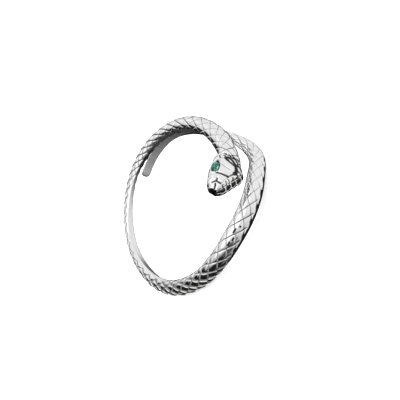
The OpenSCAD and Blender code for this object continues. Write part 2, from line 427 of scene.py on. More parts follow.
def curve(s: Array, start: Array, lead: Array, end: Array, trail: Array) -> Array:
    """A cubic curve by its two ends and the slopes there.

    Args:
        s: Places on the curve from 0 to 1.
        start: Value at 0.
        lead: Slope at 0.
        end: Value at 1.
        trail: Slope at 1.

    Returns:
        The values at the places.
    """
    return ((2 * s**3 - 3 * s**2 + 1) * start + (s**3 - 2 * s**2 + s) * lead
            + (3 * s**2 - 2 * s**3) * end + (s**3 - s**2) * trail)


class StationTable:
    """Rows of sizes along the snake, read off anywhere on a smooth curve."""

    def __init__(self, names: Sequence[str], rows: Sequence[Sequence[float]]) -> None:
        """Keeps the rows.

        Args:
            names: The columns' names. The first column is the place of a row.
            rows: One row for each station.
        """
        self.names = list(names)
        self.rows = np.array(rows, dtype=float)

    def read(self, name: str, place: Array | float) -> Array:
        """Reads a column at any place, on a cubic curve through the stations.

        Args:
            name: The column's name.
            place: One place or more.

        Returns:
            The column's value at each place.
        """
        xs, ys = self.rows[:, 0], self.rows[:, self.names.index(name)]
        slopes = np.empty(len(xs))
        slopes[1:-1] = (ys[2:] - ys[:-2]) / (xs[2:] - xs[:-2])
        slopes[0] = (ys[1] - ys[0]) / (xs[1] - xs[0])
        slopes[-1] = (ys[-1] - ys[-2]) / (xs[-1] - xs[-2])
        at = np.atleast_1d(np.asarray(place, dtype=float))
        k = np.clip(np.searchsorted(xs, at, side="right") - 1, 0, len(xs) - 2)
        gap = xs[k + 1] - xs[k]
        return curve((at - xs[k]) / gap, ys[k], gap * slopes[k], ys[k + 1], gap * slopes[k + 1])

    def columns(self, place: Array, *names: str) -> list[Array]:
        """Several columns at the same places."""
        return [self.read(name, place) for name in names]


def route_distance(a: Array, s: Array, route: Route) -> Array:
    """Distance of each grid point from a line of straight pieces.

    Args:
        a: First coordinate of the grid's points.
        s: Second coordinate of the grid's points.
        route: The line's corners.

    Returns:
        The distances, as a grid.
    """
    nearest = np.full(a.shape, FAR)
    for (a0, s0), (a1, s1) in zip(route[:-1], route[1:]):
        span = (a1 - a0) ** 2 + (s1 - s0) ** 2
        t = np.clip(((a - a0) * (a1 - a0) + (s - s0) * (s1 - s0)) / span, 0, 1)
        nearest = np.minimum(nearest, np.hypot(a - a0 - t * (a1 - a0), s - s0 - t * (s1 - s0)))
    return nearest


def cross_section(width: Array, thick: Array, waist: Array, square: Array, across: Array,
                  sink: Array) -> Array:
    """The outer face in section.

    Args:
        width: Width of each section.
        thick: Thickness of each section.
        waist: Height of the widest place as a share of the thickness.
        square: Exponent of the outline, 2 for an ellipse.
        across: Places from 0 at one edge of the inner face to 1 at the other.
        sink: How far each point is drawn towards the section's middle.

    Returns:
        Sideways and outward places, one row for each section.
    """
    width, thick, waist, square = (np.asarray(x, dtype=float)[:, None] for x in (width, thick, waist, square))
    low = np.arcsin(waist / (1 - waist))
    turn = -low + across * (np.pi + 2 * low)
    power = 2 / square
    cosine, sine = np.cos(turn), np.sin(turn)
    sideways = width / 2 * np.sign(cosine) * np.abs(cosine) ** power
    upward = np.where(sine > 0, np.abs(sine) ** power, sine)
    point = np.stack([sideways, thick * (waist + (1 - waist) * upward)], -1)
    middle = np.stack([0 * sideways, waist * thick + 0 * sideways], -1)
    return point - np.asarray(sink)[..., None] * unit(point - middle)


@dataclass
class Coil:
    """The band's path round the finger and its sections, in millimetres and degrees."""

    inner_radius: float = 8.5
    nape_angle: float = 52.0
    join_angle: float = 66.0
    tail_end: float = 536.0
    nape_pull: float = 1.96
    neck_pull: float = 1.87
    stations: StationTable = field(default_factory=lambda: StationTable(
        ("angle", "out", "height", "width", "thick", "waist", "lean", "scale"), (
            (54, -0.30, 5.00, 2.32, 1.92, 0.42, 20, 0.85), (64, -0.42, 5.13, 2.25, 1.92, 0.42, 12, 1.20),
            (75, -0.50, 5.30, 2.20, 1.90, 0.42, 7, 1.50), (105, -0.52, 5.86, 1.95, 1.62, 0.44, 12, 1.45),
            (135, -0.50, 5.84, 1.50, 1.27, 0.46, 14, 1.30), (160, -0.39, 5.30, 1.22, 1.18, 0.46, 14, 1.13),
            (180, -0.28, 4.71, 0.82, 1.10, 0.44, 8, 1.03), (225, 0.00, 2.65, 1.22, 0.86, 0.42, 0, 1.17),
            (270, -0.05, 1.05, 1.76, 1.43, 0.42, 0, 1.47), (315, 0.00, 1.28, 2.10, 1.68, 0.42, 0, 1.60),
            (338, 0.05, 1.84, 2.30, 1.78, 0.42, 0, 1.70), (360, 0.10, 2.15, 2.46, 1.84, 0.42, 0, 1.70),
            (400, 0.25, 1.65, 2.12, 1.85, 0.42, 0, 1.45), (430, 0.30, 0.80, 1.45, 1.58, 0.42, 0, 1.20),
            (460, 0.03, 3.06, 1.14, 0.89, 0.36, -4, 1.10), (490, 0.12, 4.50, 0.93, 0.62, 0.34, -10, 1.00),
            (515, -0.02, 4.28, 0.95, 0.60, 0.32, -12, 0.90),
            (545, -0.10, 3.06, 1.08, 0.52, 0.28, -12, 0.85))))

    def path(self, angle: Array) -> Array:
        """Middle of the inner face at the given angles."""
        out, height = (column[:, None] for column in self.stations.columns(angle, "out", "height"))
        return (self.inner_radius + out) * radial(angle) + height * np.array([0, 0, 1])

    def middle(self, angle: Array) -> Array:
        """Middle of the sections at the given angles."""
        return self.path(angle) + radial(angle) * (self.stations.read("thick", angle) * CORE)[:, None]

    def heading(self, angle: Array) -> Array:
        """Direction of the path towards the tail."""
        return unit(self.path(angle + 0.5) - self.path(angle - 0.5))

    def band_points(self, angle: Array, across: Array, sink: Array) -> Array:
        """Points of the outer face.

        Args:
            angle: Angle of each row.
            across: Places across the face.
            sink: How far each point is drawn in.

        Returns:
            An array of rows of points in millimetres.
        """
        ahead, away = self.heading(angle), radial(angle)
        up = unit(away - ahead * (away * ahead).sum(-1, keepdims=True))
        side = np.cross(up, ahead)
        lean = np.radians(self.stations.read("lean", angle))[:, None]
        outward = up * np.cos(lean) + side * np.sin(lean)
        sideways = side * np.cos(lean) - up * np.sin(lean)
        width, thick, waist = self.stations.columns(angle, "width", "thick", "waist")
        flat = cross_section(width, thick, waist, np.full(len(angle), 2.0), across, sink)
        return (self.path(angle)[:, None] + sideways[:, None] * flat[..., :1]
                + outward[:, None] * flat[..., 1:])

    def row_angles(self) -> Array:
        """Works out where the scale lattice's quarter rows lie, each a quarter of a scale on from the last.

        Returns:
            Their angles from the nape to the last whole scale before the tail's tip.
        """
        angles = [self.nape_angle]
        first = self.stations.rows[0, 0]
        while angles[-1] < self.tail_end - 3:
            here = max(angles[-1], first)
            reach = self.inner_radius + self.stations.read("thick", here)[0] / 2
            angles.append(angles[-1] + math.degrees(self.stations.read("scale", here)[0] / 4 / reach))
        whole = 4 * ((len(angles) - 2) // 4)
        return np.array(angles[:whole + 1])


@dataclass
class EyeSeat:
    """Place and size of the stone's oval seat, in millimetres."""

    origin: Array
    along: Array
    around: Array
    outward: Array
    radius: float = 0.50
    stretch: float = 1.28
    floor_level: float = -0.13
    rim_level: float = 0.02
    rim_width: float = 0.10
    rim_gap: float = 0.03
    rim_round: float = 0.03
    rim_fall: float = 1.6
    wall_ease: float = 0.01
    depth: float = 1.0
    reach: float = 1.3
    foot_width: float = 0.05
    foot_shade: float = 0.5

    def press(self, points: Array) -> tuple[Array, Array]:
        """Sinks a flat oval seat with a rounded rim into the skin.

        Args:
            points: Points of the head.

        Returns:
            The moved points, and the painted shade at each: black in the seat under the stone and a soft dark
            band at the rim's foot.
        """
        offset = points - self.origin
        height = offset @ self.outward
        reach = np.hypot(offset @ self.along / self.stretch, offset @ self.around)
        crest = self.radius + self.rim_gap
        past = reach - crest
        edge = self.rim_level - self.rim_round
        rim = np.where(past < self.rim_width,
                       self.rim_level - self.rim_round * (2 * past / self.rim_width - 1) ** 2,
                       edge - self.rim_fall * (past - self.rim_width))
        rise = after(reach, self.radius - self.wall_ease, self.rim_gap + self.wall_ease)
        wall = self.floor_level + (edge - self.floor_level) * rise
        level = np.where(past < 0, wall, np.maximum(height, rim))
        near = (height > -self.depth) & (reach < self.reach)
        moved = np.where(near[..., None], points + (level - height)[..., None] * self.outward, points)
        # Painted shade: black in the seat under the stone, and a soft dark band in the crease at the rim's
        # foot.
        foot = 1 - smooth(np.abs(height - rim) / self.foot_width)
        dark = np.maximum(past < 0, self.foot_shade * foot * (past > self.rim_width))
        return moved, np.where(near, dark, 0.0)


@dataclass
class Head:
    """The head's own straight frame, its sections and its plates, in millimetres.

    A line between plates is its strength, its thickness and its route, in distances from the nape and
    round the head from its crest. The side scales grow round seeds given the same way, below the lip line.
    """

    angle: float = 31.3
    radius: float = 8.21
    height: float = 5.63
    heading_angle: float = 35.0
    climb: float = 29.0
    lean: float = 32.0
    nape_back: float = 2.5
    stone_along: float = 2.66
    stone_round: float = 0.175
    stone_tilt: float = 16.0
    stone_out: float = -0.03
    line_width: float = 0.09
    line_depth: float = 0.13
    line_flat: float = 0.45
    line_edge: float = 0.7
    crest_width: float = 0.36
    crest_depth: float = 0.13
    skin_rise: float = 0.04
    mouth_depth: float = 0.13
    mouth_width: float = 0.08
    lip_ease: float = 0.10
    chin_drop: float = 1.2
    side_line: float = 0.11
    side_line_flat: float = 0.3
    side_crest: float = 0.4
    side_crest_width: float = 0.6
    snout_tip: float = 0.24
    stations: StationTable = field(default_factory=lambda: StationTable(
        ("along", "width", "thick", "waist", "square", "lift", "shift"), (
            (0.00, 2.95, 2.06, 0.42, 2.0, 0.00, 0.46), (0.80, 3.60, 2.09, 0.41, 2.1, 0.00, 0.22),
            (1.60, 3.91, 2.17, 0.40, 2.2, 0.00, -0.06), (2.70, 3.45, 2.10, 0.40, 2.3, 0.00, 0.00),
            (3.80, 2.74, 1.90, 0.40, 2.3, 0.00, 0.00), (4.55, 2.11, 1.59, 0.40, 2.2, 0.00, 0.00),
            (5.00, 1.27, 1.10, 0.42, 2.1, 0.10, 0.00))))
    lines: tuple[tuple[float, float, Route], ...] = (
        (1.0, 1.9, ((3.36, 0.62), (3.28, 0.19), (3.24, -0.05), (3.16, -0.36))),
        (0.7, 1.3, ((3.16, -0.36), (2.84, -0.46), (2.64, -0.52), (2.32, -0.59))),
        (0.55, 1.4, ((2.14, 0.60), (2.16, 0.23), (2.20, -0.07))),
        (0.2, 0.8, ((2.20, -0.07), (2.60, -0.19), (3.16, -0.36))),
        (1.0, 2.8, ((1.20, 0.03), (1.32, -0.18), (1.40, -0.42), (1.64, -0.49), (1.88, -0.57))),
        (1.0, 2.6, ((1.88, -0.57), (2.12, -0.62), (2.32, -0.59))),
        (1.0, 2.7, ((0.84, 0.45), (0.96, 0.33), (1.12, 0.19), (1.20, 0.03))),
        (0.5, 0.8, ((0.84, 0.45), (1.00, 0.75), (1.32, 1.10))),
        (1.0, 3.1, ((0.60, 0.22), (0.68, 0.03), (0.76, -0.13), (0.96, -0.29), (1.08, -0.40))),
        (1.0, 3.1, ((0.20, -0.26), (0.36, -0.42), (0.60, -0.62), (0.74, -0.80))),
        (0.8, 1.7, ((0.55, 1.15), (0.30, 1.05), (0.16, 0.88), (0.02, 0.75))),
        (0.7, 1.5, ((0.55, 1.15), (0.85, 0.98), (1.04, 0.88))),
        (0.9, 1.9, ((0.02, 0.75), (0.20, 0.62), (0.28, 0.40), (0.14, 0.22))),
        (0.9, 1.9, ((0.14, 0.22), (0.34, 0.08), (0.38, -0.12), (0.20, -0.26))),
        (0.8, 1.8, ((0.48, 0.66), (0.60, 0.48), (0.60, 0.22))),
        (1.0, 2.4, ((0.05, -0.55), (0.08, -0.85), (0.20, -1.15), (0.50, -1.40))),
        (1.0, 3.1, ((0.92, -0.66), (1.00, -0.78), (1.16, -0.91), (1.30, -1.08), (1.48, -1.40))),
        (0.6, 0.8, ((1.32, -0.26), (1.12, -0.36), (0.92, -0.62), (0.74, -0.80))),
        (0.9, 1.6, ((1.64, -0.49), (1.62, -0.85), (1.66, -1.10))),
        (0.9, 2.0, ((2.12, -0.66), (2.14, -0.85), (2.24, -1.15))),
        (0.9, 1.5, ((4.00, 0.36), (4.30, 0.27))),
        (1.0, 1.5, ((4.30, 0.27), (4.38, 0.45), (4.46, 0.58), (4.54, 0.85))),
        (1.0, 1.5, ((4.30, 0.27), (4.32, 0.00), (4.32, -0.22))),
        (1.0, 1.8, ((4.60, 0.28), (4.76, 0.18), (5.10, 0.05))),
        (1.0, 1.3, ((4.36, -0.55), (4.40, -0.68), (4.44, -0.95))),
        (0.9, 1.0, ((3.82, -0.52), (3.88, -0.75), (3.98, -1.02))),
        (0.9, 1.0, ((3.40, -0.50), (3.46, -0.72), (3.56, -1.02))),
        (0.9, 1.0, ((2.84, -0.75), (2.84, -1.08))),
        (0.5, 0.8, ((3.25, -0.38), (3.52, -0.33), (3.80, -0.26), (4.20, -0.30), (4.32, -0.22))),
        (0.7, 0.8, ((1.32, 1.10), (1.52, 1.27), (1.90, 1.52), (2.30, 1.72))),
        (0.9, 2.0, ((1.60, 1.00), (1.84, 0.88), (2.02, 0.74))),
        (0.6, 0.9, ((2.02, 0.74), (2.48, 0.55), (3.20, 0.55))),
        (0.9, 2.2, ((0.04, -0.04), (0.06, -0.23))),
        (0.4, 0.8, ((3.36, 0.62), (3.60, 0.95), (3.70, 1.45))),
        (0.4, 0.8, ((4.10, 0.80), (4.20, 1.45))),
        (0.3, 0.8, ((4.00, 0.36), (3.60, 0.45), (3.36, 0.62))))
    sides: Route = (
        (0.10, 0.70), (0.05, 1.15), (0.42, 0.98), (0.52, 1.42), (0.85, 1.22), (0.95, 0.88), (0.20, 1.75),
        (0.80, 1.80), (0.45, 2.35), (1.55, 1.38), (2.35, 1.38), (3.15, 1.38), (3.95, 1.36), (4.65, 1.30),
        (1.30, 2.05), (1.95, 2.05), (2.75, 2.05), (3.55, 2.00), (4.30, 1.95), (4.95, 1.80), (1.00, 2.70),
        (1.75, 2.75), (2.45, 2.70), (3.20, 2.65), (3.95, 2.60))
    lip: tuple[tuple[float, ...], tuple[float, ...]] = (
        (0.0, 0.5, 1.0, 1.4, 1.8, 2.3, 2.9, 3.6, 4.25, 4.6, 5.0),
        (0.48, 0.66, 0.80, 0.98, 1.08, 1.12, 1.06, 0.98, 0.92, 0.88, 0.82))
    reach: float = 5.2

    def __post_init__(self) -> None:
        """Works out the head's axes and its nape."""
        squared, climb, lean = (math.radians(x) for x in (self.heading_angle, self.climb, self.lean))
        level = np.array([math.sin(squared), -math.cos(squared), 0.0])
        away = np.array([math.cos(squared), math.sin(squared), 0.0])
        upright = np.array([0, 0, math.cos(climb)]) - level * math.sin(climb)
        self.forward = level * math.cos(climb) + np.array([0, 0, math.sin(climb)])
        self.outward = away * math.cos(lean) + upright * math.sin(lean)
        self.sideways = upright * math.cos(lean) - away * math.sin(lean)
        middle = self.radius * radial(np.array(self.angle)) + np.array([0, 0, self.height])
        self.nape = middle - self.nape_back * self.forward

    def place(self, along: Array, flat: Array) -> Array:
        """Turns places in the head's sections into points.

        Args:
            along: Distance of each section from the nape.
            flat: Sideways and outward places in each section.

        Returns:
            The points, one row for each section.
        """
        shift = self.stations.read("shift", along)[:, None]
        return (self.nape + self.forward * along[:, None, None]
                + self.sideways * (flat[..., :1] + shift[..., None]) + self.outward * flat[..., 1:])

    def points(self, along: Array, across: Array, sink: Array) -> Array:
        """Points of the head's outer face.

        Args:
            along: Distance of each row from the nape.
            across: Places across the face.
            sink: How far each point is drawn in.

        Returns:
            An array of rows of points in millimetres.
        """
        sizes = self.stations.columns(along, "width", "thick", "waist", "square")
        flat = cross_section(*sizes, across, sink)
        flat[..., 1] += self.stations.read("lift", along)[:, None]
        return self.place(along, flat)

    def middle(self, along: Array) -> Array:
        """Middle of the sections at the given distances from the nape."""
        high = CORE * self.stations.read("thick", along) + self.stations.read("lift", along)
        return self.place(along, np.stack([0 * high, high], -1)[:, None])[:, 0]

    def seat(self) -> EyeSeat:
        """Works out the seat of the stone, on the snake's right and tilted to the snout.

        Returns:
            The seat.
        """
        across, step, turn = 0.5 - self.stone_round, 0.1, 0.02

        def spot(along: float, place: float) -> Array:
            """A point of the smooth head."""
            return self.points(np.array([along]), np.array([place]), np.zeros((1, 1)))[0, 0]

        middle = spot(self.stone_along, across)
        ahead = unit(spot(self.stone_along + step, across) - spot(self.stone_along - step, across))
        around = unit(spot(self.stone_along, across + turn) - spot(self.stone_along, across - turn))
        skin, tilt = unit(np.cross(ahead, around)), math.radians(self.stone_tilt)
        normal = skin * math.cos(tilt) + ahead * math.sin(tilt)
        along = unit(ahead - normal * (ahead @ normal))
        return EyeSeat(middle + self.stone_out * skin, along, np.cross(normal, along), normal)

    def relief(self, along: Array, across: Array) -> tuple[Array, Array, Array]:
        """Works out the plates, the side scales and the mouth line.

        Args:
            along: Distances from the nape, a column.
            across: Places across the outer face, a row.

        Returns:
            How far the skin is sunk, how black it is, with painted shade over the flanks below the lip line,
            and where the painted highlight lines between the side scales lie, as grids.
        """
        a, s = np.meshgrid(along, (0.5 - across) * self.reach, indexing="ij")
        from_crest = np.abs(0.5 - across)
        groove, crest = np.zeros(a.shape), np.zeros(a.shape)
        for strength, thick, route in self.lines:
            off = route_distance(a, s, route)
            cut = 1 - smooth(off / (self.line_width * thick) / self.line_edge - self.line_flat)
            groove = np.maximum(groove, strength * cut)
            crest = np.maximum(crest, strength * (1 - smooth(off / self.crest_width)))
        lip = np.interp(a, *self.lip) + np.where(s < 0, 0.0, self.chin_drop)
        seeds = np.array(self.sides + tuple((x, -y) for x, y in self.sides))
        gaps = np.sort(np.hypot(a[..., None] - seeds[:, 0], s[..., None] - seeds[:, 1]), -1)
        border = gaps[..., 1] - gaps[..., 0]
        # The flanks below the lip line carry the side scales, and are painted black as shade.
        below = after(np.abs(s), lip, self.lip_ease) * HeadSpan.SIDES.weigh(from_crest)
        groove *= 1 - below
        # Painted highlight lines along the side scales' borders, inside the painted shade.
        painted_light_line = below * (1 - smooth(border / self.side_line - self.side_line_flat))
        side_crest = self.side_crest * below * (1 - smooth(border / self.side_crest_width))
        crest = np.maximum(crest * (1 - below), side_crest)
        off = np.abs(np.abs(s) - lip)
        mouth = HeadSpan.MOUTH.weigh(a)
        sink = self.line_depth * groove + self.crest_depth * crest
        sink = np.maximum(sink, mouth * self.mouth_depth * (1 - smooth(off / self.mouth_width)))
        sink = np.maximum(sink, mouth * self.crest_depth * (1 - smooth(off / self.crest_width)))
        sink = sink - self.skin_rise * HeadSpan.RISEN.weigh(a) * HeadSpan.SKIN.weigh(from_crest)
        # Painted shade: the flanks below the lip line go out as black.
        return sink, np.maximum(groove, below), painted_light_line


class ScaleRelief:
    """Geometry nodes that press the lattice of overlapping scales into the band's skin."""

    INPUTS = {"Groove depth": 0.04, "Groove width": 0.07, "Scale crown": 0.08, "Scale lift": 0.22,
              "Scale rise": 0.10}
    CROWN_POWER = 0.6

    def tree(self, metal: bpy.types.Material) -> bpy.types.NodeTree:
        """Builds the node group.

        Args:
            metal: The finish that the tree sets on its result.

        Returns:
            The group, with its sizes as named inputs in millimetres.
        """
        group = bpy.data.node_groups.new("scale_relief", "GeometryNodeTree")
        group.interface.new_socket("Geometry", in_out="INPUT", socket_type="NodeSocketGeometry")
        for name, value in self.INPUTS.items():
            entry = group.interface.new_socket(name, in_out="INPUT", socket_type="NodeSocketFloat")
            entry.default_value = value
        group.interface.new_socket("Geometry", in_out="OUTPUT", socket_type="NodeSocketGeometry")
        tree = NodeTree(group)
        inputs = group.nodes.new("NodeGroupInput").outputs
        size = {name: Socket(tree, inputs[name]) for name in self.INPUTS}

        def stored(name: str, kind: str = "FLOAT") -> Socket:
            """Reads an attribute that the band's mesh carries."""
            settings = {"data_type": kind}
            return tree.add("GeometryNodeInputNamedAttribute", settings, {"Name": name}, out="Attribute")

        first, second = lattice(stored("scale_row"), stored("scale_column"))
        edge = first.least(1 - first).least(second.least(1 - second))
        groove = edge.ramp(0.0, size["Groove width"], 1.0, 0.0)
        crown = (16 * first * (1 - first) * second * (1 - second)) ** self.CROWN_POWER
        front = 1 - (first + second) / 2
        sink = (size["Groove depth"] * groove + size["Scale crown"] * (1 - crown)
                + size["Scale lift"] * front - size["Scale rise"])
        push = tree.add("ShaderNodeVectorMath", {"operation": "SCALE"},
                        {0: stored("inward", "FLOAT_VECTOR"), "Scale": sink * stored("scale_weight") * MM})
        moved = tree.add("GeometryNodeSetPosition", {},
                         {"Geometry": Socket(tree, inputs["Geometry"]), "Offset": push})
        real = tree.add("GeometryNodeRealizeInstances", {}, {"Geometry": moved})
        dressed = tree.add("GeometryNodeSetMaterial", {}, {"Geometry": real, "Material": metal})
        tree.add("NodeGroupOutput", {}, {"Geometry": dressed})
        return group

    def press(self, piece: bpy.types.Object, metal: bpy.types.Material) -> None:
        """Runs the tree on a piece and keeps the result, clear of the floor, as its plain mesh.

        Args:
            piece: The piece, whose mesh carries the lattice's attributes.
            metal: The finish of the result.
        """
        modifier = piece.modifiers.new("scale_relief", "NODES")
        modifier.node_group = self.tree(metal)
        for item in modifier.node_group.interface.items_tree:
            if item.in_out == "INPUT" and item.name in self.INPUTS:
                modifier[item.identifier] = self.INPUTS[item.name]
        evaluated = piece.evaluated_get(bpy.context.evaluated_depsgraph_get())
        plain = bpy.data.meshes.new_from_object(evaluated)
        piece.modifiers.remove(modifier)
        piece.data = plain
        for point in plain.vertices:
            point.co.z = max(0.0, point.co.z)


@dataclass(frozen=True)
class ScaleShares:
    """How much shallower or deeper, and how much fainter, the scales are on some stretches of the coil."""

    muted: float = 0.25
    calm: float = 0.15
    neck: float = 0.45
    bold: float = 0.35
    stepped: float = 0.6
    eased: float = 0.5
    muted_lines: float = 0.7
    neck_lines: float = 0.3
    full_thickness: float = 1.5


def ring_quads(start: int, rings: int, count: int) -> list[tuple[int, ...]]:
    """Joins neighbouring rings of points with quads.

    Args:
        start: Index of the first ring's first point.
        rings: How many rings there are.
        count: Points a ring.

    Returns:
        The quads, by their points' indexes.
    """
    quads = []
    for ring in range(start, start + (rings - 1) * count, count):
        for c in range(count):
            d = (c + 1) % count
            quads.append((ring + c, ring + d, ring + count + d, ring + count + c))
    return quads


@dataclass
class SnakeCasting:
    """The whole metal snake, from snout to tail tip.

    Each part's grid holds rings of points, their directions inward and the marks that the finish and the
    scales read. A mark that a grid leaves out is zero there.
    """

    MARKS = ("scale_row", "scale_column", "scale_weight", "groove", "worn", "scale_line", "painted_light_line",
             "painted_front_shadow")

    coil: Coil = field(default_factory=Coil)
    head: Head = field(default_factory=Head)
    metal: SilverFinish = field(default_factory=SilverFinish)
    shares: ScaleShares = field(default_factory=ScaleShares)
    scales_across: int = 4
    fine: int = 8
    under: int = 8
    head_rows: int = 118
    head_gap: float = 0.04
    tip_rows: int = 8
    tail_rows: int = 14
    tail_sink: float = 0.02
    tail_crowding: float = 0.9
    tail_fullness: float = 3.0
    tail_wear: float = 3.5
    tip_painted_shade: tuple[float, float] = (0.35, 0.3)
    nape_line: tuple[float, float] = (0.04, 0.07)
    edge_ease: tuple[float, float] = (-0.03, 0.17)
    plain_ease: float = 0.10
    probe: float = 0.1
    plain_angles: tuple[float, ...] = (165, 185, 262, 290)
    plain_limits: tuple[float, ...] = (0.30, 0.17, 0.17, 0.10)

    def neck_points(self, angle: Array, across: Array, sink: Array) -> Array:
        """Points between the nape and the band, along both headings.

        Args:
            angle: Angle of each row.
            across: Places across the face.
            sink: How far each point is drawn in.

        Returns:
            An array of rows of points in millimetres.
        """
        coil, head = self.coil, self.head
        share = ((angle - coil.nape_angle) / (coil.join_angle - coil.nape_angle))[:, None, None]
        start = head.points(np.zeros(len(angle)), across, sink)
        end = coil.band_points(np.full(len(angle), coil.join_angle), across, sink)
        places = head.stations.rows[:2, 0]
        shift = head.stations.read("shift", places)
        lead = unit(head.forward + head.sideways * (shift[1] - shift[0]) / places[1])
        trail = coil.heading(np.array([coil.join_angle]))[0]
        return curve(share, start, -coil.nape_pull * lead, end, coil.neck_pull * trail)

    def skin(self, angle: Array, across: Array, sink: float) -> Array:
        """Points of the outer face anywhere between the nape and the tail.

        Args:
            angle: Angle of each row.
            across: Places across the face.
            sink: How far all the points are drawn in.

        Returns:
            An array of rows of points in millimetres.
        """
        depth = np.full((len(angle), len(across)), sink)
        neck = angle < self.coil.join_angle
        points = np.empty((len(angle), len(across), 3))
        points[neck] = self.neck_points(angle[neck], across, depth[neck])
        points[~neck] = self.coil.band_points(angle[~neck], across, depth[~neck])
        return points

    def closed(self, dome: Array, count: int) -> Array:
        """Adds the inner face's points to rows of outer points."""
        share = (np.arange(1, count + 1) / (count + 1))[None, :, None]
        return np.concatenate([dome, dome[:, -1:] * (1 - share) + dome[:, :1] * share], 1)

    def marked(self, values: Array, count: int, under: float = 0.0) -> Array:
        """Adds the inner face's mark to rows of the outer points' marks."""
        return np.concatenate([values, np.full((len(values), count), under)], 1)

    def scale_marks(self, angle: Array, across: Array) -> tuple[Array, Array, Array]:
        """Works out how the scales change along the coil and across it.

        Args:
            angle: Angle of each row, as a column.
            across: Places across the outer face.

        Returns:
            How deep the scales are pressed, how clear their lines are and how much painted shadow their front
            edges carry.
        """
        neck, calm = Stretch.NECK.weigh(angle), Stretch.CALM.weigh(angle)
        bold, muted = Stretch.BOLD.weigh(angle), Stretch.MUTED.weigh(angle)
        bare = Stretch.BARE.weigh(angle) * Strip.BARE.weigh(across)
        cut_off = Stretch.CUT_OFF.weigh(angle) * Strip.CUT_OFF.weigh(across)
        stepped = Stretch.STEPPED.weigh(angle) * Strip.STEPPED.weigh(across)
        eased = Stretch.EASED.weigh(angle) * Strip.EASED.weigh(across)
        limit = np.interp(angle, self.plain_angles, self.plain_limits)
        plain = Stretch.PLAIN.weigh(angle) * before(across, limit, self.plain_ease)
        scaled = (1 - plain) * (1 - bare) * (1 - cut_off)
        soft = after(np.minimum(across, 1 - across), *self.edge_ease)
        soft = soft + (1 - soft) * calm
        shares = self.shares
        thick = self.coil.stations.read("thick", np.maximum(angle, self.coil.stations.rows[0, 0]))
        depth = np.minimum(1.0, thick / shares.full_thickness) * soft * scaled
        depth = depth * (1 - shares.muted * muted - shares.calm * calm) * (1 - shares.neck * neck)
        depth = depth * (1 + shares.bold * bold + shares.stepped * stepped) * (1 - shares.eased * eased)
        line = scaled * (1 - shares.muted_lines * muted - shares.neck_lines * neck)
        # The third mark is painted shadow at the scales' front edges.
        return depth, line, Stretch.DARK.weigh(angle) * scaled

    def band_grid(self) -> dict[str, Array]:
        """Makes the rows of the band, from the nape to the last whole scale.

        Returns:
            The grid's points and marks by name.
        """
        quarter = self.coil.row_angles()
        steps = self.fine // 2
        row = np.arange((len(quarter) - 1) * steps + 1) / steps
        angle = np.interp(row, np.arange(len(quarter)), quarter)
        row = row[:, None] / 2
        halves = 2 * self.scales_across
        across = np.linspace(0, 1, halves * self.fine + 1)
        column = across * halves
        dome, lower = self.skin(angle, across, 0.0), self.skin(angle, across, self.probe)
        depth, line, dark = self.scale_marks(angle[:, None], across)
        first, second = (((row + sign * column) / 2) % 1 for sign in (1, -1))
        edge = np.minimum(np.minimum(first, 1 - first), np.minimum(second, 1 - second))
        groove = Stretch.NAPE.weigh(angle)[:, None] * (1 - after(edge, *self.nape_line))
        wear = 1 + (self.tail_wear - 1) * (Stretch.TAIL.weigh(angle) + Stretch.TOP.weigh(angle))[:, None]
        share = np.arange(1, self.under + 1) / (self.under + 1)
        column = np.concatenate([column, np.where(share < 0.5, halves, 0.0)])
        blank = np.zeros((len(angle), len(column)))
        return {"points": self.closed(dome, self.under),
                "inward": self.closed((lower - dome) / self.probe, self.under),
                "scale_row": blank + row, "scale_column": blank + column,
                "scale_weight": self.marked(depth, self.under), "scale_line": self.marked(line, self.under),
                "painted_front_shadow": self.marked(dark, self.under), "groove": self.marked(groove, self.under),
                "worn": self.marked(0 * depth, self.under, 1.0) * wear}

    def tail_grid(self) -> dict[str, Array]:
        """Makes the plain rows that round the tail off.

        Returns:
            The grid's points and marks by name.
        """
        start = self.coil.row_angles()[-1]
        share = np.sin(np.linspace(0, np.pi / 2, self.tail_rows + 1))[1:-1] ** self.tail_crowding
        angle = start + share * (self.coil.tail_end - start)
        across = np.linspace(0, 1, 2 * self.scales_across * self.fine + 1)
        sink = np.full((len(angle), len(across)), self.tail_sink)
        ring = self.closed(self.coil.band_points(angle, across, sink), self.under)
        middle = self.coil.middle(angle)[:, None]
        size = np.sqrt(1 - share ** self.tail_fullness)[:, None, None]
        return {"points": middle + size * (ring - middle),
                "worn": self.marked(0 * sink, self.under, self.tail_wear)}

    def head_grid(self) -> dict[str, Array]:
        """Makes the rows of the head, from the snout's rounded tip to just before the nape.

        Returns:
            The grid's points and marks by name.
        """
        head, under = self.head, 2 * self.under + 1
        along = np.linspace(head.stations.rows[-1, 0], self.head_gap, self.head_rows)
        across = np.linspace(0, 1, 4 * self.scales_across * self.fine + 1)
        sink, groove, painted_light_line = head.relief(along, across)
        dome, dark = head.seat().press(head.points(along, across, sink))
        points = self.closed(dome, under)
        # The seat's painted shade joins the black marks.
        groove = self.marked(np.maximum(groove, dark), under)
        painted_light_line = self.marked(painted_light_line, under)
        middle = head.middle(along[:1])[0]
        turns = np.radians(90 * np.arange(1, self.tip_rows) / self.tip_rows)[::-1, None]
        tips = (middle + (points[0] - middle) * np.cos(turns)[..., None]
                + head.forward * head.snout_tip * np.sin(turns)[..., None])
        # Painted shade: the snout's tip is black underneath.
        chin = np.concatenate([Strip.CHIN.weigh(across), np.ones(under)])
        snout = np.maximum(groove[:1], after(np.sin(turns), *self.tip_painted_shade) * chin)
        points = np.concatenate([tips, points])
        return {"points": points, "groove": np.concatenate([snout, groove]),
                "painted_light_line": np.concatenate([painted_light_line[:1] * np.cos(turns) ** 2, painted_light_line]),
                "worn": self.marked(np.zeros((len(points), len(across))), under, 1.0)}

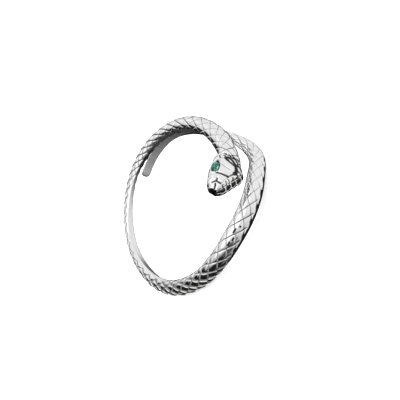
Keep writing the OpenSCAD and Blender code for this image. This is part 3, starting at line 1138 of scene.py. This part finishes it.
    def faces(self, shapes: Sequence[tuple[int, int]]) -> list[tuple[int, ...]]:
        """Joins the rings of the head, the band and the tail into one closed skin.

        Args:
            shapes: Number of rings, and of points a ring, in the head, the band and the tail.

        Returns:
            Each face by its points' indexes. The last two points are the tips of the snout and the tail.
        """
        (head_rings, wide), (band_rings, count), (tail_rings, _) = shapes
        nape = head_rings * wide
        snout = nape + (band_rings + tail_rings) * count
        faces = ring_quads(0, head_rings, wide) + ring_quads(nape, band_rings + tail_rings, count)
        for c in range(count):
            d = nape + (c + 1) % count
            left, middle, right = (nape - wide + (2 * c + k) % wide for k in range(3))
            faces += [(left, middle, nape + c), (middle, d, nape + c), (middle, right, d)]
        faces += [(snout, (c + 1) % wide, c) for c in range(wide)]
        last = snout - count
        faces += [(last + c, last + (c + 1) % count, snout + 1) for c in range(count)]
        return faces

    def build(self) -> bpy.types.Object:
        """Builds the casting's mesh in metres, with its scales, and dresses it.

        Returns:
            The finished piece.
        """
        head = self.head
        grids = [self.head_grid(), self.band_grid(), self.tail_grid()]
        snout = head.middle(head.stations.rows[-1:, 0]) + head.forward * head.snout_tip
        tail = self.coil.middle(np.array([self.coil.tail_end]))
        points = np.concatenate([grid["points"].reshape(-1, 3) for grid in grids] + [snout, tail])
        mesh = bpy.data.meshes.new("snake_casting")
        shapes = [grid["points"].shape[:2] for grid in grids]
        mesh.from_pydata((points * MM).tolist(), [], self.faces(shapes))
        for name in self.MARKS:
            values = [grid[name].reshape(-1) if name in grid else np.zeros(rings * count)
                      for grid, (rings, count) in zip(grids, shapes)]
            values = np.concatenate(values + [np.zeros(2)]).astype(np.float32)
            mesh.attributes.new(name, "FLOAT", "POINT").data.foreach_set("value", values)
        inward = [grid.get("inward", 0 * grid["points"]).reshape(-1) for grid in grids]
        inward = np.concatenate(inward + [np.zeros(6)]).astype(np.float32)
        mesh.attributes.new("inward", "FLOAT_VECTOR", "POINT").data.foreach_set("vector", inward)
        piece = show("snake_casting", mesh)
        ScaleRelief().press(piece, self.metal.material())
        piece.data.shade_smooth()
        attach(piece, "root")
        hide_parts("ring_body")
        LOG.info("snake_casting: %d triangles", sum(len(face.vertices) - 2 for face in piece.data.polygons))
        return piece


@dataclass
class EyeStone:
    """The cut stone, which keeps its solid's facets."""

    finish: StoneFinish = field(default_factory=StoneFinish)

    def dress(self) -> None:
        """Gives the stone its finish."""
        for place in frame["nodes"]["eye_stone"].material_slots:
            place.material = self.finish.material()
        LOG.info("eye_stone: dressed")


class Shade(Enum):
    """Brightness of the studio tent's parts."""

    FILL = 0.45
    TOP = 0.42
    KEY = 0.55
    SIDE = 0.30
    DARK = 0.012


@dataclass(frozen=True)
class Card:
    """A patch of the tent with a soft edge, placed by a direction in the camera's axes."""

    right: float
    up: float
    back: float
    low: float
    high: float
    strength: float = 1.0


@dataclass
class Studio:
    """Pale floor, a tent of soft light with dark cards, and a long-lens camera.

    The camera's aim, shift and frame are in millimetres, and the tent, floor and lamp in metres.
    """

    right: Vector = Vector((0.5343, 0.4863, -0.6914))
    up: Vector = Vector((-0.2974, 0.8738, 0.3848))
    back: Vector = Vector((0.7912, 0.0, 0.6115))
    aim: Vector = Vector((0.0, 0.0, 2.58))
    shift_right: float = 1.393
    shift_up: float = 0.764
    frame_width: float = 44.94
    lens: float = 500.0
    sensor: float = 36.0
    clip: tuple[float, float] = (0.01, 10.0)
    tent_radius: float = 1.6
    floor_half: float = 0.9
    lamp_height: float = 1.0
    lamp_size: float = 1.2
    lamp_power: float = 9.0
    world_glow: float = 0.4
    paper: PaperFinish = field(default_factory=PaperFinish)
    lights: tuple[Card, ...] = (
        Card(0.55, 0.75, 0.20, -0.6, 0.8, Shade.TOP.value),
        Card(-0.55, 0.12, 0.83, 0.80, 0.90, Shade.KEY.value),
        Card(-0.95, 0.20, -0.10, 0.55, 0.90, Shade.SIDE.value))
    darks: tuple[Card, ...] = (
        Card(0.62, -0.35, -0.70, 0.62, 0.74),
        Card(-0.25, -0.95, 0.15, 0.72, 0.90),
        Card(0.0, 0.0, -1.0, 0.60, 0.90, 0.85),
        Card(0.15, -0.90, 0.42, 0.80, 0.93, 0.85))
    low_dark: Card = Card(-0.35, -0.55, -0.75, 0.25, 0.50)
    upper_half: Card = Card(0.0, 1.0, 0.0, -0.05, 0.25)

    def camera(self) -> None:
        """Places the camera at the photograph's angle, rolled as the ring is held there."""
        data = bpy.data.cameras.new("long_lens")
        data.lens = self.lens
        data.sensor_width = self.sensor
        distance = self.frame_width * self.lens / self.sensor
        middle = self.aim + self.right * self.shift_right + self.up * self.shift_up
        turn = Matrix((self.right.normalized(), self.up.normalized(), self.back.normalized())).transposed()
        eye = show("long_lens", data)
        eye.matrix_world = Matrix.Translation((middle + self.back * distance) * MM) @ turn.to_4x4()
        data.clip_start, data.clip_end = self.clip
        bpy.context.scene.camera = eye

    def floor(self) -> None:
        """Lays the pale floor."""
        half = self.floor_half
        corners = [(-half, -half, 0), (half, -half, 0), (half, half, 0), (-half, half, 0)]
        mesh = bpy.data.meshes.new("floor")
        mesh.from_pydata(corners, [], [(0, 1, 2, 3)])
        mesh.materials.append(self.paper.material())
        floor = show("floor", mesh)
        floor.visible_glossy = False

    def tent_light(self) -> bpy.types.Material:
        """Makes the tent's light, which is laid out by fixed directions and dark where a card hangs.

        Returns:
            The material.
        """
        made, tree = new_material("tent_light")
        place = tree.add("ShaderNodeTexCoord", out="Object")
        away = tree.add("ShaderNodeVectorMath", {"operation": "NORMALIZE"}, {0: place})

        def patch(card: Card) -> Socket:
            """Lays out one card.

            Args:
                card: The card's direction and its edge.

            Returns:
                One where the card hangs and zero elsewhere.
            """
            axis = (self.right * card.right + self.up * card.up + self.back * card.back).normalized()
            toward = {0: away, 1: tuple(axis)}
            near = tree.add("ShaderNodeVectorMath", {"operation": "DOT_PRODUCT"}, toward, out="Value")
            return near.ramp(card.low, card.high)

        level = Shade.FILL.value
        for card in self.lights:
            level = level + card.strength * patch(card)
        dark = patch(self.low_dark) * (1 - patch(self.upper_half))
        for card in self.darks:
            dark = dark.most(card.strength * patch(card))
        level = level * (1 - dark) + Shade.DARK.value * dark
        shade = tree.add("ShaderNodeCombineColor", {}, {0: level, 1: level, 2: level})
        tree.surface({"Base Color": (0.0, 0.0, 0.0, 1.0), "Emission Color": shade, "Emission Strength": 1.0,
                      "Specular IOR Level": 0.0})
        return made

    def tent(self) -> None:
        """Puts a sphere of soft light round the ring."""
        bpy.ops.mesh.primitive_uv_sphere_add(segments=64, ring_count=32, radius=self.tent_radius)
        tent = bpy.context.object
        tent.name = "light_tent"
        tent.data.materials.append(self.tent_light())

    def lamp(self) -> None:
        """Hangs a wide soft lamp above, which lights the floor and leaves no glint in the metal."""
        data = bpy.data.lights.new("overhead", "AREA")
        data.shape, data.size, data.energy = "DISK", self.lamp_size, self.lamp_power
        lamp = show("overhead", data)
        lamp.location = (0.0, 0.0, self.lamp_height)
        lamp.visible_glossy = False

    def world(self) -> None:
        """Sets the even white light outside the tent."""
        world = bpy.data.worlds.new("studio")
        world.use_nodes = True
        inputs = world.node_tree.nodes["Background"].inputs
        inputs[0].default_value = (1.0, 1.0, 1.0, 1.0)
        inputs[1].default_value = self.world_glow
        bpy.context.scene.world = world
        bpy.context.scene.view_settings.view_transform = "Standard"

    def build(self) -> None:
        """Builds the whole studio."""
        self.camera()
        self.floor()
        self.tent()
        self.lamp()
        self.world()
        LOG.info("studio: camera, floor, tent and lamp")


def main() -> None:
    """Builds the ring and its studio."""
    logging.basicConfig(level=logging.INFO, format="%(name)s: %(message)s")
    SnakeCasting().build()
    EyeStone().dress()
    Studio().build()


if __name__ == "__main__":
    main()
